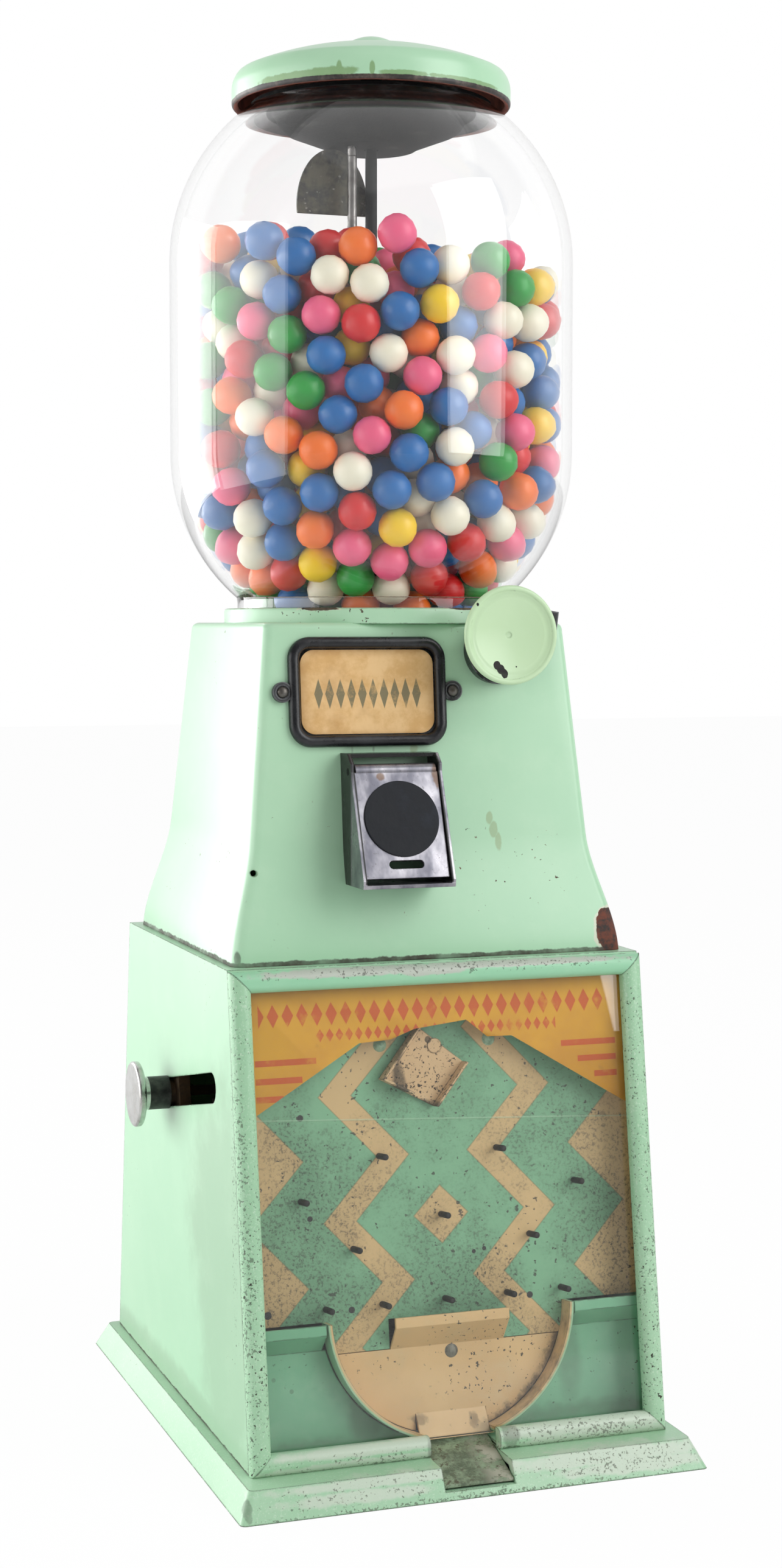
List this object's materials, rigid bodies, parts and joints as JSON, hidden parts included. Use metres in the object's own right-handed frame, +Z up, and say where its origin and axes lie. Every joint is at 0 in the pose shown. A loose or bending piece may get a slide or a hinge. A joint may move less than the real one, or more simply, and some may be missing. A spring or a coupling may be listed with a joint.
{
  "type": "penny vending machine",
  "caption": "Counter-top gumball machine: glass globe over a tapered cabinet with a pinned penny game, push disc, side handle and hinged delivery flap.",
  "frame": {"origin": "middle of the base plate's underside, on the counter", "axes": "+Z up, the window and the push disc face -Y, the side handle is at -X"},
  "size_m": [0.1991, 0.25, 0.5813],
  "materials": {
    "mint_enamel": "gloss enamel, worn",
    "dark_steel": "plain sheet, dull",
    "clear_glass": "clear",
    "printed_paper": "aged, matt",
    "plain_card": "aged, matt",
    "field_enamel": "satin, patterned",
    "cream_enamel": "satin, stained",
    "black_metal": "gloss black",
    "nickel": "polished, dulled",
    "brass": "turned",
    "cast_grey": "as cast",
    "disc_paint": "gloss, chipped",
    "spring_steel": "drawn wire",
    "gasket_rubber": "matt",
    "gum": "sugar shell, many colours",
    "screw_white": "painted over"
  },
  "bodies": {
    "machine": {"base_skirt": "mint_enamel", "base_plate": "dark_steel", "cabinet_shell": "mint_enamel", "left_stile": "mint_enamel", "right_stile": "mint_enamel", "top_rail": "mint_enamel", "bottom_rail": "mint_enamel", "game_window": "clear_glass", "instruction_card": "printed_paper", "playfield": "field_enamel", "playfield_pins": "black_metal", "playfield_screws": "screw_white", "cup_wall": "cream_enamel", "catch_plate": "cream_enamel", "left_pocket_cover": "field_enamel", "right_pocket_cover": "field_enamel", "return_ramp": "dark_steel", "coin_apron": "dark_steel", "cash_box": "dark_steel", "carrier_bush": "brass", "handle_track": "dark_steel", "cross_bar": "dark_steel", "upper_housing": "mint_enamel", "name_frame": "black_metal", "name_card": "plain_card", "name_screws": "dark_steel", "chute_hood": "nickel", "flap_pin": "spring_steel", "coin_entry": "black_metal", "coin_chute": "dark_steel", "hopper_bowl": "cast_grey", "drop_guard": "dark_steel", "axle_strap": "dark_steel", "centre_rod": "black_metal", "rod_nut": "dark_steel", "lock_rod": "nickel", "delivery_chute": "dark_steel", "globe_gasket": "gasket_rubber", "globe": "clear_glass", "gumballs": "gum", "door_hinge": "dark_steel"},
    "plunger": {"push_disc": "disc_paint", "push_shaft": "dark_steel", "push_spring": "spring_steel"},
    "pocket_wheel": {"feed_wheel": "brass", "ratchet_wheel": "dark_steel"},
    "handle": {"handle_knob": "nickel", "handle_slider": "brass"},
    "bell_crank": {"bell_crank": "dark_steel"},
    "carrier": {"coin_carrier": "cream_enamel", "carrier_arm": "dark_steel"},
    "flap": {"chute_flap": "nickel", "flap_disc": "black_metal"},
    "lid": {"lid": "mint_enamel", "lid_cup": "black_metal", "lid_screw": "mint_enamel"},
    "back_door": {"back_door": "mint_enamel", "door_lock": "nickel"},
    "lock_cam": {"lock_cam": "nickel"}
  },
  "joints": [
    {"name": "push_slide", "type": "slide", "parent": "machine", "child": "plunger", "axis": [0, 1, 0], "range_m": [0, 0.01256], "stiffness_N_per_m": 160, "springref_m": -0.012, "deforming": ["push_spring"]},
    {"name": "wheel_turn", "type": "hinge", "parent": "machine", "child": "pocket_wheel", "pos_m": [0, 0.007, 0.316], "axis": [0, 0, 1], "range_deg": [0, 36.1]},
    {"name": "handle_slide", "type": "slide", "parent": "machine", "child": "handle", "axis": [0, -0.9799, 0.1994], "range_m": [0, 0.072]},
    {"name": "crank_turn", "type": "hinge", "parent": "machine", "child": "bell_crank", "pos_m": [0, -0.01697, 0.1383], "axis": [0, 0.1994, 0.9799], "range_deg": [0, 58.74]},
    {"name": "carrier_swing", "type": "hinge", "parent": "machine", "child": "carrier", "pos_m": [0, -0.068, 0.16623], "axis": [0, -0.9894, 0.1454], "range_deg": [0, 78.05]},
    {"name": "flap_swing", "type": "hinge", "parent": "machine", "child": "flap", "pos_m": [-0.0154, -0.06532, 0.277], "axis": [-1, 0, 0], "range_deg": [0, 70]},
    {"name": "lid_lift", "type": "slide", "parent": "machine", "child": "lid", "axis": [0, 0, 1], "range_m": [0, 0.085]},
    {"name": "door_swing", "type": "hinge", "parent": "machine", "child": "back_door", "pos_m": [0, 0.11444, 0.03067], "axis": [-1, 0, 0], "range_deg": [0, 95]},
    {"name": "lock_turn", "type": "hinge", "parent": "back_door", "child": "lock_cam", "pos_m": [0, 0.09313, 0.16755], "axis": [0, 0.9908, 0.1352], "range_deg": [0, 90]}
  ],
  "couplings": [
    {"joint": "wheel_turn", "follows": "push_slide", "rad_per_m": 50},
    {"joint": "crank_turn", "follows": "handle_slide", "rad_per_m": 14.233},
    {"joint": "carrier_swing", "follows": "handle_slide", "rad_per_m": 18.908}
  ]
}
